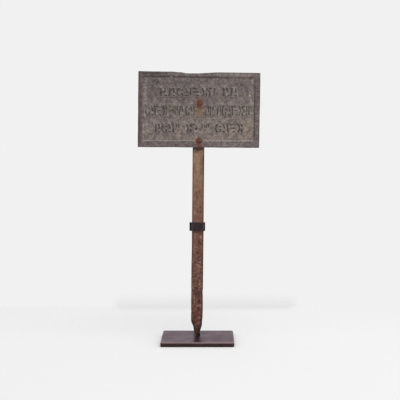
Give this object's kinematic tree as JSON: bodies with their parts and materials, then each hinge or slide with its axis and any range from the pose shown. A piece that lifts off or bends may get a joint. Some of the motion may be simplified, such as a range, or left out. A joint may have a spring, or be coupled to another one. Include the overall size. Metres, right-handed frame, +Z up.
{
  "type": "commemorative plaque on stake",
  "caption": "Cast lead memorial plaque with a raised frame and raised inscription rows, riveted to a flat pointed iron stake that a clip and rod hold upright on a flat stand plate.",
  "frame": {"origin": "centre of the stand plate's underside, on the floor", "axes": "+Z up along the stake, -Y out of the plaque's inscribed face, +X to the right as the inscription is faced"},
  "size_m": [0.2634, 0.1164, 0.584],
  "materials": {
    "lead": "weathered cast lead, dull grey-brown patina with rust stains under the rivets",
    "rusted_iron": "rusted wrought iron, rougher and redder towards the point",
    "rivet_iron": "dark red rust",
    "black_steel": "satin black",
    "bronzed_steel": "dark brown semi-gloss"
  },
  "bodies": {
    "root": {"plaque": "lead", "stake": "rusted_iron", "rivet_upper": "rivet_iron", "rivet_lower": "rivet_iron", "clip_strap": "black_steel", "clip_back_plate": "black_steel", "stand_rod": "black_steel", "stand_base": "bronzed_steel", "tip_pin_left": "black_steel", "tip_pin_right": "black_steel"}
  },
  "joints": []
}
